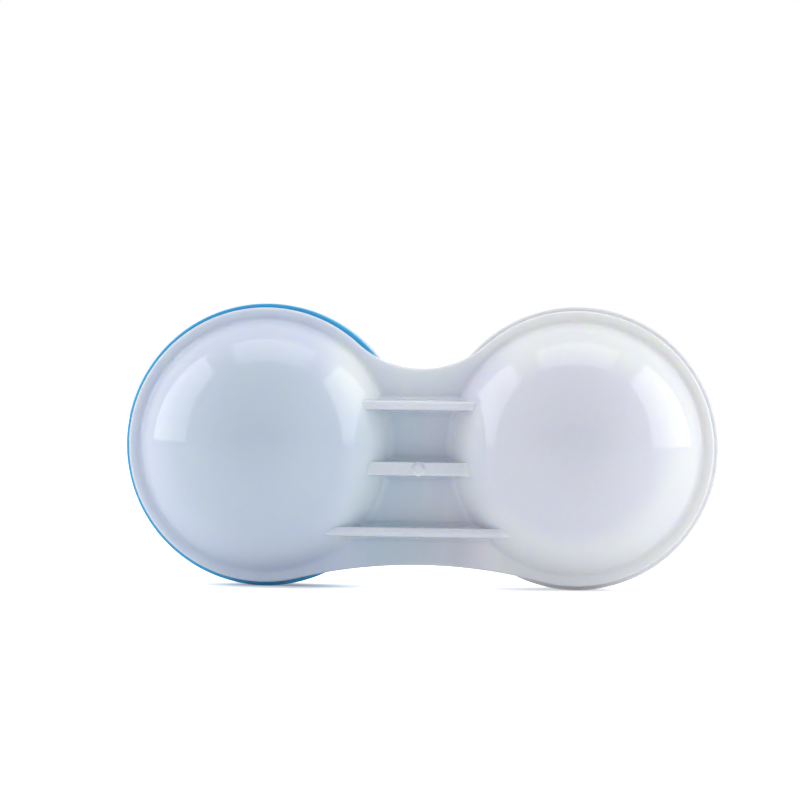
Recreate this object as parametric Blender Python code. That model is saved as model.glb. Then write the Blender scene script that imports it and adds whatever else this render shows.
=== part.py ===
"""Contact lens case: one base with two domed wells, and a screw cap with a seal over each well.

The case stands on its long edge, with the domed underside towards -Y and the caps towards +Y.
Each piece is modelled as it lies flat, caps up, with Z along the screw axes and Z = 0 on the
flange face under the caps. An empty then turns the whole case on edge. Sizes are in metres.
"""

import math

import bmesh
import bpy

MM = 0.001

# Clearances
SEAT_GAP = 0.3 * MM
THREAD_CLEARANCE = 0.2 * MM
SEAL_CLEARANCE = 0.3 * MM

# Caps
CAP_RADIUS = 15.65 * MM
CAP_GAP = 3.1 * MM
CAP_WALL = 1.55 * MM
CAP_DRAFT = 0.45 * MM
CAP_TOP = 1.7 * MM
CAP_EDGE_ROUND = 0.8 * MM
CAP_RECESS_BORDER = 3.1 * MM
CAP_RECESS_DEPTH = 0.4 * MM
RIM_CHAMFER = 0.2 * MM
RIM_BAND = 3.8 * MM
GRIP_DEPTH = 0.3 * MM
GRIP_RUN_OUT = 0.4 * MM
GRIP_COUNT = 48
MOUTH_CHAMFER = 0.3 * MM

# Screw threads
THREAD_LEAD = 2.6 * MM
THREAD_DEPTH = 0.75 * MM
THREAD_ROOT = 1.3 * MM
THREAD_CREST = 0.6 * MM
THREAD_MARGIN = 0.3 * MM
THREAD_BURY = 0.3 * MM
THREAD_TAPER_STEPS = 3

# Seals, and the bead in each cap that keeps the seal in
SEAL_THICKNESS = 0.8 * MM
SEAL_EDGE = 0.15 * MM
BEAD_HOLD = 0.35 * MM
BEAD_HEIGHT = 0.5 * MM
BEAD_RAMP = 0.2 * MM

# Base
FLANGE_SETBACK = 0.45 * MM
FLANGE_THICKNESS = 1.3 * MM
FLANGE_EDGE_ROUND = 0.25 * MM
NECK_HEIGHT = 5.4 * MM
NECK_WALL = 1.3 * MM
LIP_CHAMFER = 0.25 * MM
DOME_HEIGHT = 8.5 * MM
DOME_FLARE = 0.65 * MM
DOME_FILLET = 0.4 * MM
FOOT_RADIUS = 3.0 * MM
WELL_WALL = 1.3 * MM

# Bridge between the wells, with its ribs
NOTCH_DEPTH = 6.6 * MM
BELLY_DEPTH = 2.1 * MM
NOTCH_RIB_MARGIN = 4.05 * MM
BELLY_RIB_MARGIN = 3.7 * MM
RIB_HEIGHT = 3.1 * MM
OUTER_RIB_THICKNESS = 1.0 * MM
MIDDLE_RIB_THICKNESS = 1.45 * MM
RIB_DRAFT = 0.1 * MM
GATE_RADIUS = 0.65 * MM
GATE_HEIGHT = 0.2 * MM

# Facets
TURN_SEGMENTS = 48
DOME_STEPS = 7
FILLET_STEPS = 3
BRIDGE_STEPS = 8
GATE_SEGMENTS = 12
SMOOTH_ANGLE = math.radians(30)

# What follows from the sizes above
CAP_BORE = CAP_RADIUS - CAP_WALL
NECK_RADIUS = CAP_BORE - THREAD_DEPTH - THREAD_CLEARANCE
MOUTH_RADIUS = NECK_RADIUS - NECK_WALL
FLANGE_RADIUS = CAP_RADIUS - FLANGE_SETBACK
DOME_RADIUS = NECK_RADIUS + DOME_FLARE
HALF_SPACING = CAP_RADIUS + CAP_GAP / 2
SEAL_RADIUS = CAP_BORE - SEAL_CLEARANCE
SEAL_UNDERSIDE = NECK_HEIGHT + SEAT_GAP
CAP_CEILING = SEAL_UNDERSIDE + SEAL_THICKNESS + SEAT_GAP
CAP_CROWN = CAP_CEILING + CAP_TOP
UNDERSIDE = -FLANGE_THICKNESS
FOOT_LEVEL = UNDERSIDE - DOME_HEIGHT
NOTCH_SADDLE = FLANGE_RADIUS - NOTCH_DEPTH
BELLY_SADDLE = FLANGE_RADIUS - BELLY_DEPTH
THREAD_TOP = NECK_HEIGHT - BEAD_HEIGHT - THREAD_MARGIN - THREAD_ROOT / 2

# The sphere of each dome passes through its base circle and its foot circle
SPHERE_DEPTH = (DOME_RADIUS**2 - FOOT_RADIUS**2 - DOME_HEIGHT**2) / (2 * DOME_HEIGHT)
SPHERE_CENTRE = UNDERSIDE + SPHERE_DEPTH
SPHERE_RADIUS = math.hypot(DOME_RADIUS, SPHERE_DEPTH)
BOWL_RADIUS = SPHERE_RADIUS - WELL_WALL
BOWL_FLOOR = FOOT_LEVEL + WELL_WALL


def clear_scene():
    for old in list(bpy.data.objects):
        bpy.data.objects.remove(old, do_unlink=True)


def plastic(name, colour, roughness):
    material = bpy.data.materials.new(name)
    material.use_nodes = True
    shader = material.node_tree.nodes["Principled BSDF"]
    shader.inputs["Base Color"].default_value = (*colour, 1)
    shader.inputs["Roughness"].default_value = roughness
    shader.inputs["Metallic"].default_value = 0
    return material


def stand_on_edge():
    """The empty that turns the flat case on edge, centred over the origin and resting on Z = 0."""
    case = bpy.data.objects.new("case", None)
    bpy.context.collection.objects.link(case)
    case.rotation_euler = (-math.pi / 2, 0, 0)
    case.location = (0, -(CAP_CROWN + FOOT_LEVEL) / 2, CAP_RADIUS)
    return case


def piece(name, shape, case, x=0, material=None):
    """An object for a finished bmesh, placed at x along the case."""
    mesh = bpy.data.meshes.new(name)
    bmesh.ops.recalc_face_normals(shape, faces=shape.faces)
    shape.to_mesh(mesh)
    shape.free()
    mesh.shade_smooth()
    mesh.set_sharp_from_angle(angle=SMOOTH_ANGLE)
    made = bpy.data.objects.new(name, mesh)
    bpy.context.collection.objects.link(made)
    made.parent = case
    made.location.x = x
    if material:
        mesh.materials.append(material)
    return made


def combine(target, tool, operation):
    """Leaves a live Boolean on target. The tool itself is a guide and not a piece."""
    tool.hide_render = True
    tool.display_type = "WIRE"
    cut = target.modifiers.new(tool.name, "BOOLEAN")
    cut.operation = operation
    cut.solver = "EXACT"
    cut.object = tool


def turned(profile, segments, flutes=()):
    """A solid turned about Z from (radius, height) points, bottom to top, with flat ends.

    Rings whose index is in flutes have every second point drawn in by the grip's depth.
    """
    shape = bmesh.new()
    rings = []
    for index, (radius, height) in enumerate(profile):
        ring = []
        for step in range(segments):
            angle = 2 * math.pi * step / segments
            drawn_in = GRIP_DEPTH if index in flutes and step % 2 else 0
            reach = radius - drawn_in
            ring.append(shape.verts.new((reach * math.cos(angle), reach * math.sin(angle), height)))
        rings.append(ring)
    for lower, upper in zip(rings, rings[1:]):
        for step in range(segments):
            after = (step + 1) % segments
            shape.faces.new((lower[step], lower[after], upper[after], upper[step]))
    shape.faces.new(rings[0][::-1])
    shape.faces.new(rings[-1])
    return shape


def prism(outline, low, high, flare=0):
    """An (x, y) outline extruded from low to high, its top spread in y by flare on each side."""
    shape = bmesh.new()
    middle = sum(y for x, y in outline) / len(outline)
    bottom = [shape.verts.new((x, y, low)) for x, y in outline]
    top = [shape.verts.new((x, y + math.copysign(flare, y - middle), high)) for x, y in outline]
    count = len(outline)
    for step in range(count):
        after = (step + 1) % count
        shape.faces.new((bottom[step], bottom[after], top[after], top[step]))
    shape.faces.new(bottom[::-1])
    shape.faces.new(top)
    return shape


def thread(wall, outward, drop, lowest):
    """A helical ridge on a wall of that radius, from lowest up to the threads' common top.

    Both threads follow one helix. The cap's is the drop below the neck's, so the two slide past
    each other as the cap turns. The ridge's ends run out into the wall. Its corners lie in the
    middle of the wall's facets, so that the edges of the two never meet along a line.
    """
    neck_start = THREAD_MARGIN + THREAD_ROOT / 2
    rise = THREAD_LEAD / TURN_SEGMENTS
    first = math.ceil((lowest + drop - neck_start) / rise - 1e-9)
    last = math.floor((THREAD_TOP + drop - neck_start) / rise + 1e-9)
    shape = bmesh.new()
    sections = []
    for step in range(first, last + 1):
        grown = min(1, (step - first) / THREAD_TAPER_STEPS, (last - step) / THREAD_TAPER_STEPS)
        proud = THREAD_DEPTH * grown - THREAD_BURY / 2 * (1 - grown)
        angle = 2 * math.pi * (step + 1 / 2) / TURN_SEGMENTS
        height = neck_start + rise * step - drop
        section = []
        for reach, offset in (
            (-THREAD_BURY, -THREAD_ROOT / 2),
            (proud, -THREAD_CREST / 2),
            (proud, THREAD_CREST / 2),
            (-THREAD_BURY, THREAD_ROOT / 2),
        ):
            radius = wall + outward * reach
            corner = (radius * math.cos(angle), radius * math.sin(angle), height + offset)
            section.append(shape.verts.new(corner))
        sections.append(section)
    for before, after in zip(sections, sections[1:]):
        for side in range(4):
            other = (side + 1) % 4
            shape.faces.new((before[side], before[other], after[other], after[side]))
    shape.faces.new(sections[0])
    shape.faces.new(sections[-1][::-1])
    return shape


def thread_drop():
    """How far the cap's thread lies below the neck's, with the seat's gap between their flanks."""
    flank = (THREAD_ROOT - THREAD_CREST) / 2
    overlap = THREAD_ROOT - flank * (THREAD_DEPTH + THREAD_CLEARANCE) / THREAD_DEPTH
    return overlap + SEAT_GAP


def arc(centre, radius, start, end, steps):
    """Points along an arc, both ends included, with angles in radians."""
    angles = [start + (end - start) * step / steps for step in range(steps + 1)]
    return [(centre[0] + radius * math.cos(a), centre[1] + radius * math.sin(a)) for a in angles]


def saddle_arc(saddle, side):
    """Centre, radius and half angle of the arc that joins the two flange circles at a saddle."""
    depth = FLANGE_RADIUS - saddle
    radius = (HALF_SPACING**2 + saddle**2 - FLANGE_RADIUS**2) / (2 * depth)
    half = math.atan2(HALF_SPACING, saddle + radius)
    return (0, side * (saddle + radius)), radius, half


def flange_outline():
    """Two circles joined by a deep notch at -Y and a shallow belly at +Y, counterclockwise."""
    notch_centre, notch_radius, notch_half = saddle_arc(NOTCH_SADDLE, -1)
    belly_centre, belly_radius, belly_half = saddle_arc(BELLY_SADDLE, 1)
    quarter = math.pi / 2
    sweep = math.pi + notch_half + belly_half
    round_steps = math.ceil(sweep / (2 * math.pi) * TURN_SEGMENTS)
    right = arc(
        (HALF_SPACING, 0), FLANGE_RADIUS, -quarter - notch_half, quarter + belly_half, round_steps
    )
    belly = arc(
        belly_centre, belly_radius, -quarter + belly_half, -quarter - belly_half, BRIDGE_STEPS
    )
    left = [(-x, y) for x, y in right[::-1]]
    notch = arc(notch_centre, notch_radius, quarter + notch_half, quarter - notch_half, BRIDGE_STEPS)
    return right + belly[1:-1] + left + notch[1:-1]


def plate(case, material):
    """The flange round both wells and the web between them."""
    made = piece("base", prism(flange_outline(), UNDERSIDE, 0), case, material=material)
    edge = made.modifiers.new("edge", "BEVEL")
    edge.width = FLANGE_EDGE_ROUND
    edge.segments = 2
    edge.limit_method = "ANGLE"
    edge.angle_limit = math.radians(60)
    return made


def dome_profile():
    """From the foot down the sphere, through the fillet and into the flange, then up the neck."""
    fillet_level = UNDERSIDE - DOME_FILLET
    fillet_centre = math.sqrt((SPHERE_RADIUS + DOME_FILLET) ** 2 - (SPHERE_CENTRE - fillet_level) ** 2)
    foot_angle = -math.acos(FOOT_RADIUS / SPHERE_RADIUS)
    base_angle = -math.atan2(SPHERE_CENTRE - fillet_level, fillet_centre)
    dome = arc((0, SPHERE_CENTRE), SPHERE_RADIUS, foot_angle, base_angle, DOME_STEPS)
    fillet = arc(
        (fillet_centre, fillet_level), DOME_FILLET, base_angle + math.pi, math.pi / 2, FILLET_STEPS
    )
    buried = UNDERSIDE + FLANGE_THICKNESS / 3
    return dome + fillet[1:-1] + [
        (fillet_centre, buried),
        (NECK_RADIUS, UNDERSIDE / 2),
        (NECK_RADIUS, NECK_HEIGHT - LIP_CHAMFER),
        (NECK_RADIUS - LIP_CHAMFER, NECK_HEIGHT),
    ]


def bowl_profile():
    """The hollow of a well, from its floor up through the mouth and past the lip."""
    floor_radius = math.sqrt(BOWL_RADIUS**2 - (SPHERE_CENTRE - BOWL_FLOOR) ** 2)
    floor_angle = -math.acos(floor_radius / BOWL_RADIUS)
    mouth_angle = -math.acos(MOUTH_RADIUS / BOWL_RADIUS)
    bowl = arc((0, SPHERE_CENTRE), BOWL_RADIUS, floor_angle, mouth_angle, DOME_STEPS)
    return bowl + [
        (MOUTH_RADIUS, NECK_HEIGHT - LIP_CHAMFER),
        (MOUTH_RADIUS + 2 * LIP_CHAMFER, NECK_HEIGHT + LIP_CHAMFER),
    ]


def rib_outline(y, thickness):
    half = thickness / 2
    return [
        (-HALF_SPACING, y - half),
        (HALF_SPACING, y - half),
        (HALF_SPACING, y + half),
        (-HALF_SPACING, y + half),
    ]


def add_ribs(base, case):
    """Three ribs across the bridge, run into the domes, with the gate mark on the middle one."""
    first = NOTCH_RIB_MARGIN - NOTCH_SADDLE
    last = BELLY_SADDLE - BELLY_RIB_MARGIN
    middle = (first + last) / 2
    crest = UNDERSIDE - RIB_HEIGHT
    rows = (
        ("notch_rib", first, OUTER_RIB_THICKNESS),
        ("middle_rib", middle, MIDDLE_RIB_THICKNESS),
        ("belly_rib", last, OUTER_RIB_THICKNESS),
    )
    for name, y, thickness in rows:
        rib = prism(rib_outline(y, thickness), crest, UNDERSIDE / 2, flare=RIB_DRAFT)
        combine(base, piece(name, rib, case), "UNION")
    mark = turned(
        [(GATE_RADIUS, crest - GATE_HEIGHT), (GATE_RADIUS, crest + GATE_HEIGHT)], GATE_SEGMENTS
    )
    gate = piece("gate_mark", mark, case)
    gate.location.y = middle
    combine(base, gate, "UNION")


def add_base(case):
    milky = plastic("milky_plastic", (0.74, 0.78, 0.84), 0.22)
    base = plate(case, milky)
    wells = (("left", -HALF_SPACING), ("right", HALF_SPACING))
    for side, x in wells:
        dome = piece(f"{side}_dome", turned(dome_profile(), TURN_SEGMENTS), case, x)
        combine(base, dome, "UNION")
    add_ribs(base, case)
    for side, x in wells:
        bowl = piece(f"{side}_bowl", turned(bowl_profile(), TURN_SEGMENTS), case, x)
        combine(base, bowl, "DIFFERENCE")
        ridge = thread(NECK_RADIUS, 1, 0, THREAD_MARGIN + THREAD_ROOT / 2)
        combine(base, piece(f"{side}_neck_thread", ridge, case, x), "UNION")


def cap_outside():
    """The cap as a plug, from its rim up to the floor of the recess in its top.

    It stands on the plain band by its rim. The grip above the band narrows to the shoulder.
    """
    grip_low = SEAT_GAP + RIM_BAND
    grip_high = CAP_CROWN - CAP_EDGE_ROUND
    shoulder = CAP_RADIUS - CAP_DRAFT
    narrowing = CAP_DRAFT / (grip_high - grip_low) * GRIP_RUN_OUT
    soft = CAP_EDGE_ROUND * (1 - math.sqrt(0.5))
    recess = CAP_RADIUS - CAP_RECESS_BORDER
    profile = [
        (CAP_RADIUS - RIM_CHAMFER, SEAT_GAP),
        (CAP_RADIUS, SEAT_GAP + RIM_CHAMFER),
        (CAP_RADIUS, grip_low),
        (CAP_RADIUS - narrowing, grip_low + GRIP_RUN_OUT),
        (shoulder + narrowing, grip_high - GRIP_RUN_OUT),
        (shoulder, grip_high),
        (shoulder - soft, CAP_CROWN - soft),
        (shoulder - CAP_EDGE_ROUND, CAP_CROWN),
        (recess, CAP_CROWN),
        (recess - CAP_RECESS_DEPTH, CAP_CROWN - CAP_RECESS_DEPTH),
    ]
    return turned(profile, 2 * GRIP_COUNT, flutes=(3, 4))


def cap_inside():
    """The hollow of a cap, from below its rim up to its ceiling, with the bead under the seal."""
    bead_radius = SEAL_RADIUS - BEAD_HOLD
    profile = [
        (CAP_BORE + 2 * MOUTH_CHAMFER, SEAT_GAP - MOUTH_CHAMFER),
        (CAP_BORE, SEAT_GAP + MOUTH_CHAMFER),
        (CAP_BORE, NECK_HEIGHT - BEAD_HEIGHT),
        (bead_radius, NECK_HEIGHT - BEAD_HEIGHT + BEAD_RAMP),
        (bead_radius, NECK_HEIGHT - BEAD_RAMP),
        (CAP_BORE, NECK_HEIGHT),
        (CAP_BORE, CAP_CEILING),
    ]
    return turned(profile, TURN_SEGMENTS)


def add_cap(case, side, x, material):
    cap = piece(f"{side}_cap", cap_outside(), case, x, material)
    combine(cap, piece(f"{side}_cap_hollow", cap_inside(), case, x), "DIFFERENCE")
    lowest = SEAT_GAP + THREAD_MARGIN + THREAD_ROOT / 2
    ridge = thread(CAP_BORE, -1, thread_drop(), lowest)
    combine(cap, piece(f"{side}_cap_thread", ridge, case, x), "UNION")


def add_seal(case, side, x, material):
    top = SEAL_UNDERSIDE + SEAL_THICKNESS
    profile = [
        (SEAL_RADIUS - SEAL_EDGE, SEAL_UNDERSIDE),
        (SEAL_RADIUS, SEAL_UNDERSIDE + SEAL_EDGE),
        (SEAL_RADIUS, top - SEAL_EDGE),
        (SEAL_RADIUS - SEAL_EDGE, top),
    ]
    piece(f"{side}_cap_seal", turned(profile, TURN_SEGMENTS), case, x, material)


def main():
    clear_scene()
    case = stand_on_edge()
    add_base(case)
    blue = plastic("blue_plastic", (0.02, 0.31, 0.65), 0.3)
    white = plastic("white_plastic", (0.85, 0.85, 0.87), 0.3)
    rubber = plastic("clear_silicone", (0.78, 0.79, 0.78), 0.5)
    for side, x, colour in (("left", -HALF_SPACING, blue), ("right", HALF_SPACING, white)):
        add_cap(case, side, x, colour)
        add_seal(case, side, x, rubber)


main()
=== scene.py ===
"""A contact lens case on its long edge in a plain studio, seen from its domed underside.

The base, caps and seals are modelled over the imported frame, in metres. Each is made lying flat,
with the screw axes along Z, and is then stood on edge, so a height here is the case's Y.
"""

import math

import bmesh
import bpy
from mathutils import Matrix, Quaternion, Vector


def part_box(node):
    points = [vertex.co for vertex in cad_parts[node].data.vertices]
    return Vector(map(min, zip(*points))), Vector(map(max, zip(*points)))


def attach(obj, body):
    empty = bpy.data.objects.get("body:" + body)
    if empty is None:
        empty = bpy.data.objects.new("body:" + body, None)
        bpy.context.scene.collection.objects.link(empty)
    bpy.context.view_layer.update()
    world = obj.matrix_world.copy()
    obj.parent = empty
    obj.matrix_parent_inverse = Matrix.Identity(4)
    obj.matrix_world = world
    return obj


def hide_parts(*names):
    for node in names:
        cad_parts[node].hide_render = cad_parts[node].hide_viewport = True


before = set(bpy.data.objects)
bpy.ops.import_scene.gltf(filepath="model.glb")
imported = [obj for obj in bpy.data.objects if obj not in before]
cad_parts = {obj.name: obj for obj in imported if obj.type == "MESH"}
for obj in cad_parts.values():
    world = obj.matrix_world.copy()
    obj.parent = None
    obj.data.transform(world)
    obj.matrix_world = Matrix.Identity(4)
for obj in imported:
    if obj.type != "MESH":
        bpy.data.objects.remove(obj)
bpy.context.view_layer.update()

MM = 0.001

# Main sizes and places, read from the frame
base_low, base_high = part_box("base")
cap_low, cap_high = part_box("left_cap")
right_low, right_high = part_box("right_cap")
seal_low, seal_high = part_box("left_cap_seal")
AXIS_HEIGHT = (cap_low.z + cap_high.z) / 2
HALF_SPACING = (right_low.x + right_high.x) / 2
CAP_RADIUS = (cap_high.z - cap_low.z) / 2
SEAL_RADIUS = (seal_high.z - seal_low.z) / 2
FOOT = base_low.y
LIP = base_high.y
RIM = cap_low.y
CROWN = cap_high.y
SEAL_LOW = seal_low.y
SEAL_HIGH = seal_high.y
SIDES = (("left", -HALF_SPACING), ("right", HALF_SPACING))

# Walls and clearances
SEAT_GAP = 0.3 * MM
FLANGE_THICKNESS = 1.3 * MM
FLANGE_SETBACK = 0.45 * MM
CAP_WALL = 1.55 * MM
NECK_WALL = 1.3 * MM
WELL_WALL = 1.3 * MM
THREAD_DEPTH = 0.75 * MM
THREAD_CLEARANCE = 0.2 * MM

# Levels and radii that follow
FACE = RIM - SEAT_GAP
UNDERSIDE = FACE - FLANGE_THICKNESS
CEILING = SEAL_HIGH + SEAT_GAP
FLANGE_RADIUS = CAP_RADIUS - FLANGE_SETBACK
CAP_BORE = CAP_RADIUS - CAP_WALL
NECK_RADIUS = CAP_BORE - THREAD_DEPTH - THREAD_CLEARANCE
MOUTH_RADIUS = NECK_RADIUS - NECK_WALL

# Roundings
SINK = 0.02 * MM
FLANGE_ROUND = 0.25 * MM
FLANGE_ROUND_STEPS = 6
LIP_ROUND = 0.35 * MM
DOME_FILLET = 0.85 * MM
ROUND_STEPS = 8
EDGE_STEPS = ROUND_STEPS // 2
MERGE_DISTANCE = MM / 1000
EDGE_ANGLE = math.radians(60)

# Domes and bowls
DOME_FLARE = 0.65 * MM
FOOT_RADIUS = 3.0 * MM
DOME_STEPS = 40
WELL_SEGMENTS = 160

# Bridge and ribs
NOTCH_DEPTH = 6.6 * MM
BELLY_DEPTH = 2.1 * MM
BRIDGE_STEPS = 36
NOTCH_RIB_MARGIN = 4.05 * MM
BELLY_RIB_MARGIN = 3.7 * MM
RIB_HEIGHT = 3.1 * MM
RIB_DRAFT = 0.1 * MM
OUTER_RIB_ROUND = 0.42 * MM
MIDDLE_RIB_ROUND = 0.2 * MM
RIB_FILLET = 0.8 * MM
OUTER_RIB = 1.0 * MM
MIDDLE_RIB = 1.45 * MM
RIB_STEPS = 40
NOTCH_SADDLE = FLANGE_RADIUS - NOTCH_DEPTH
BELLY_SADDLE = FLANGE_RADIUS - BELLY_DEPTH
RIB_CREST = UNDERSIDE - RIB_HEIGHT
NOTCH_RIB_PLACE = NOTCH_RIB_MARGIN - NOTCH_SADDLE
BELLY_RIB_PLACE = BELLY_SADDLE - BELLY_RIB_MARGIN
MIDDLE_RIB_PLACE = (NOTCH_RIB_PLACE + BELLY_RIB_PLACE) / 2

# Small moulding marks
GATE_RADIUS = 0.78 * MM
GATE_RISE = 0.1 * MM
GATE_NUB_RADIUS = 0.38 * MM
GATE_HEIGHT = 0.2 * MM
PIN_MARK_RADIUS = 1.2 * MM
PIN_MARK_DEPTH = 0.06 * MM
PIN_MARK_PLACES = (-5.4 * MM, 9.6 * MM)
MARK_SEGMENTS = 48

# Threads
THREAD_LEAD = 2.6 * MM
THREAD_ROOT = 1.3 * MM
THREAD_CREST = 0.6 * MM
THREAD_SOFT = 0.1 * MM
THREAD_MARGIN = 0.3 * MM
THREAD_BURY = 0.3 * MM
THREAD_TURN_STEPS = 96
THREAD_START_ANGLE = math.radians(3.75)
THREAD_TAPER_STEPS = 6
THREAD_END_DEPTH = THREAD_DEPTH + THREAD_BURY / 3

# Caps
CAP_EDGE_ROUND = 0.8 * MM
CAP_RECESS_BORDER = 3.1 * MM
CAP_RECESS_DEPTH = 0.4 * MM
RIM_ROUND = 0.2 * MM
RIM_BAND = 3.8 * MM
CAP_DRAFT = 0.45 * MM
GRIP_COUNT = 48
GRIP_DEPTH = 0.3 * MM
GRIP_RUN_OUT = 0.4 * MM
GRIP_STEPS = 6
CAP_SEGMENTS = GRIP_COUNT * GRIP_STEPS
GRIP_INSIDE = CAP_BORE + CAP_WALL / 3
LEVEL_TOLERANCE = MM / 100
BEAD_HEIGHT = 0.5 * MM
BEAD_HOLD = 0.35 * MM
BEAD_RAMP = 0.2 * MM
CAP_GATE_RADIUS = 0.9 * MM
CAP_GATE_DEPTH = 0.15 * MM

# Seals
SEAL_EDGE = 0.15 * MM
SEAL_DENT = 0.06 * MM

# Shading: edges sharper than these angles, in degrees, stay sharp
BASE_SMOOTH_ANGLE = 32
CAP_SMOOTH_ANGLE = 40

# Camera, from the photograph's view
CAMERA_AZIMUTH = math.radians(3.75)
CAMERA_ELEVATION = math.radians(0.1)
CAMERA_ROLL = math.radians(0.73)
CAMERA_DISTANCE = 0.5
CAMERA_AIM = Vector((-2.36 * MM, 0, 20.78 * MM))
CAMERA_LENS = 203.4

# Plastics and silicone as substances
PLASTIC_IOR = 1.5
SILICONE_IOR = 1.41
MILK_DEPTH = 1.3 * MM
MILK_SPREAD = (1.0, 0.8, 0.5)
CAP_MILK_DEPTH = 1.2 * MM
CAP_MILK_SPREAD = (1, 1, 1)
MILK_SHARE = 1
BLUE_MILK_SHARE = 0.4
WHITE_MILK_SHARE = 0.9

# Tones of the moulding, many with painted light and shade in them. A pair is for the blue cap's side and
# the white cap's side, and the blue side has the blue cap's light painted into it
# Painted shade on the domes' crowns
CROWN_SHADE_TONES = ((0.65, 0.73, 0.82, 1), (0.81, 0.805, 0.88, 1))
# Painted light on the domes' flanks, stronger on the white cap's side
FLANK_LIGHT_TONES = ((0.71, 0.765, 0.885, 1), (0.955, 0.945, 1.0, 1))
# Painted light on the flanks by the bridge, low down and high up
INNER_LOW_LIGHT_TONES = ((0.795, 0.88, 1.0, 1), (0.875, 0.885, 1.0, 1))
INNER_HIGH_LIGHT_TONES = ((0.90, 0.95, 1.0, 1), (0.79, 0.79, 0.885, 1))
# The flange's own tone, with the blue cap's light painted on its side
FLANGE_CAP_LIGHT_TONES = ((0.715, 0.78, 0.915, 1), (0.955, 0.93, 1.0, 1))
# Painted shade in the pockets between the ribs, with the blue cap's light painted on its side
POCKET_SHADE_TONES = ((0.635, 0.745, 0.815, 1), (0.74, 0.745, 0.80, 1))
SADDLE_TONE = (0.815, 0.85, 0.95, 1)
RIB_TONE = (0.78, 0.805, 0.88, 1)
NECK_TONE = (0.74, 0.78, 0.85, 1)
STREAK_TONE = (0.92, 0.94, 0.96, 1)
CLOUD_TONE = (0.85, 0.87, 0.95, 1)
BLUSH_TONE = (0.93, 0.94, 0.97, 1)
# Painted shade and a painted highlight for the gate's ring
GATE_SHADE_TONE = (0.50, 0.53, 0.60, 1)
GATE_GLINT_TONE = (0.98, 0.98, 1.0, 1)
SPECK_TONE = (0.35, 0.38, 0.45, 1)

# How much of those last tones shows
STREAK_SHARE = 0.1
CLOUD_SHARE = 0.1
BLUSH_SHARE = 0.15
GATE_SHADE_SHARE = 0.45
GATE_GLINT_SHARE = 0.6
SPECK_SHARE = 0.5

# Zones of tone, each easing in from its first place to its second: along the case, where the blue cap's
# painted light gives way to the white cap's side
CAP_LIGHT_ZONE = (-13 * MM, 12 * MM)
BRIDGE_CAP_LIGHT_ZONE = (-8 * MM, 8 * MM)

# Zones off the case's middle plane
# Where the painted light by the bridge takes over from the flanks' painted light
INNER_LIGHT_ZONE = (12.5 * MM, 6.5 * MM)
WEB_ZONE = (9 * MM, 4 * MM)

# Zones above the level of the wells' axes
# Where the painted light by the bridge changes from its low tones to its high ones
INNER_HIGH_LIGHT_ZONE = (2 * MM, 8 * MM)
# Where the painted shade of the pockets starts, under the notch rib
POCKET_SHADE_ZONE = (1 * MM - NOTCH_RIB_PLACE, -NOTCH_RIB_PLACE)
# Where the gate ring's painted shade above gives way to its painted highlight below
GATE_UPPER_ZONE = (-MIDDLE_RIB_PLACE - 0.5 * MM, -MIDDLE_RIB_PLACE + 0.3 * MM)

# Zones off a well's axis, and under and over the surface of its dome
# Where the crowns' painted shade takes over
CROWN_SHADE_ZONE = (12.3 * MM, 8.3 * MM)
DOME_SKIN = (0.8 * WELL_WALL, 0.5 * WELL_WALL)
DOME_FADE = (0.7 * MM, 0.1 * MM)

# Zones along the screw axes
RIB_ZONE = (UNDERSIDE - 1.0 * MM, UNDERSIDE - 2.2 * MM)
NECK_ZONE = (FACE - 0.1 * MM, FACE + 0.3 * MM)

# Zones off the middle of the gate mark
BLUSH_ZONE = (3.6 * MM, 2.2 * MM)
# The gate's ring of painted shade and painted highlight
GATE_RING_START = (0.45 * MM, 0.62 * MM)
GATE_RING_END = (0.85 * MM, 0.7 * MM)

# Levels of noise between which a pattern shows
STREAK_ZONE = (0.45, 0.75)
CLOUD_ZONE = (0.3, 0.8)
FLOW_ZONE = (0.3, 0.75)
RARE_SPECKS = (0.7, 0.72)

# Specks, as a spacing and a size
MILK_SPECKS = (11 * MM, 0.16 * MM)
CAP_SPECKS = (9 * MM, 0.12 * MM)

# Patterns, as noise scales in a metre
STREAK_STRETCH = (600, 60, 60)
MILK_CLOUDS = 70
MILK_WAVES = 160
MILK_GRAIN = 1400
CAP_CLOUDS = 110
CAP_GRAIN = 2600
LINER_CLOUDS = 150
LINER_GRAIN = 3000

# Surfaces
MILK_ROUGHNESS = 0.03
BLUE_ROUGHNESS = 0.22
WHITE_ROUGHNESS = 0.2
LINER_ROUGHNESS = 0.42
FLOOR_ROUGHNESS = 0.8
MILK_BUMP = 0.012
CAP_BUMP = 0.05
LINER_BUMP = 0.08
BUMP_DISTANCE = MM / 10

# Tones of the caps and liners
BLUE_TONE = (0.07, 0.50, 0.86, 1)
BLUE_DEEP_TONE = (0.055, 0.44, 0.80, 1)
WHITE_TONE = (0.88, 0.88, 0.895, 1)
WHITE_DEEP_TONE = (0.85, 0.85, 0.87, 1)
CAP_SPECK_TONE = (0.8, 0.85, 0.9, 1)
CAP_SPECK_SHARE = 0.3
LINER_TONES = ((0.83, 0.86, 0.86, 1), (0.88, 0.90, 0.90, 1))

# Floor: its glow, which is weaker where the caps stand and weakest by the blue one
FLOOR_TONE = (0.86, 0.87, 0.88, 1)
FLOOR_SIZE = 6
CONTACT_PLACE = 0.9 * HALF_SPACING
CONTACT_ZONE = (0.003, 0.014)
GLOW_AT_BLUE = 0.22
GLOW_OFF_BLUE = 0.21
GLOW_OFF_CAPS = 0.57
GLOW_MIRRORED = 0.1
LIGHT_AT_BLUE = 0.03
LIGHT_OFF_BLUE = 0.07

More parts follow.
